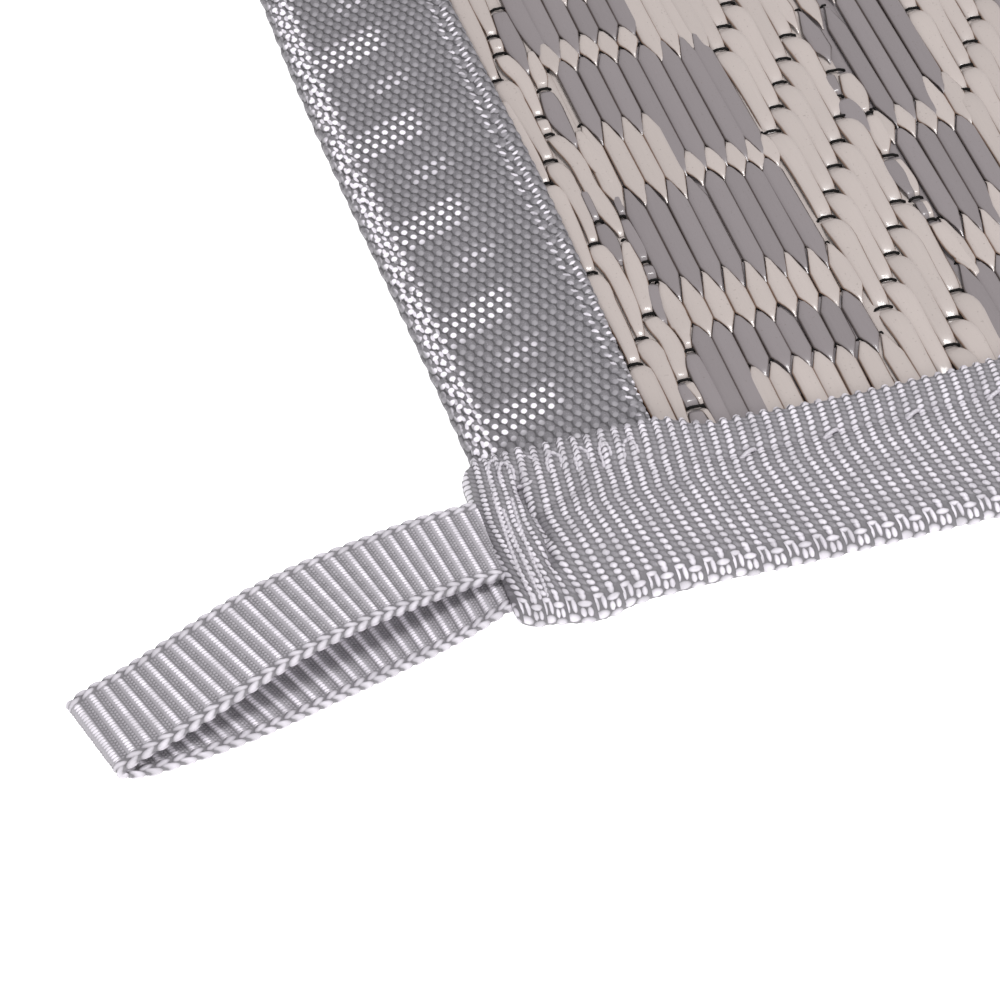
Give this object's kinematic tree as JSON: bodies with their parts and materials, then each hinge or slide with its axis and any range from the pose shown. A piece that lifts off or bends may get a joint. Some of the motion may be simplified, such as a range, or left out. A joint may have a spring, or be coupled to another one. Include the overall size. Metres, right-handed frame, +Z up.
{
  "type": "outdoor rug",
  "caption": "Flat outdoor rug woven from plastic straw, bound with woven tape, with folded webbing loops at its corners.",
  "frame": {"origin": "middle of the underside, on the ground", "axes": "+Z up; X along the long sides, so along the black binding threads; Y along the short sides, so along the straws"},
  "size_m": [1.018, 0.6148, 0.0079],
  "materials": {
    "straw": "semi-gloss extruded straw in warm cream and taupe grey",
    "binding_tape": "silver-grey woven tape with a bright multifilament glint",
    "webbing": "ribbed silver-grey webbing"
  },
  "bodies": {
    "root": {"mat": "straw", "binding_front": "binding_tape", "binding_back": "binding_tape", "binding_left": "binding_tape", "binding_right": "binding_tape", "loop_front_left": "webbing", "loop_front_right": "webbing", "loop_back_left": "webbing", "loop_back_right": "webbing"}
  },
  "joints": []
}
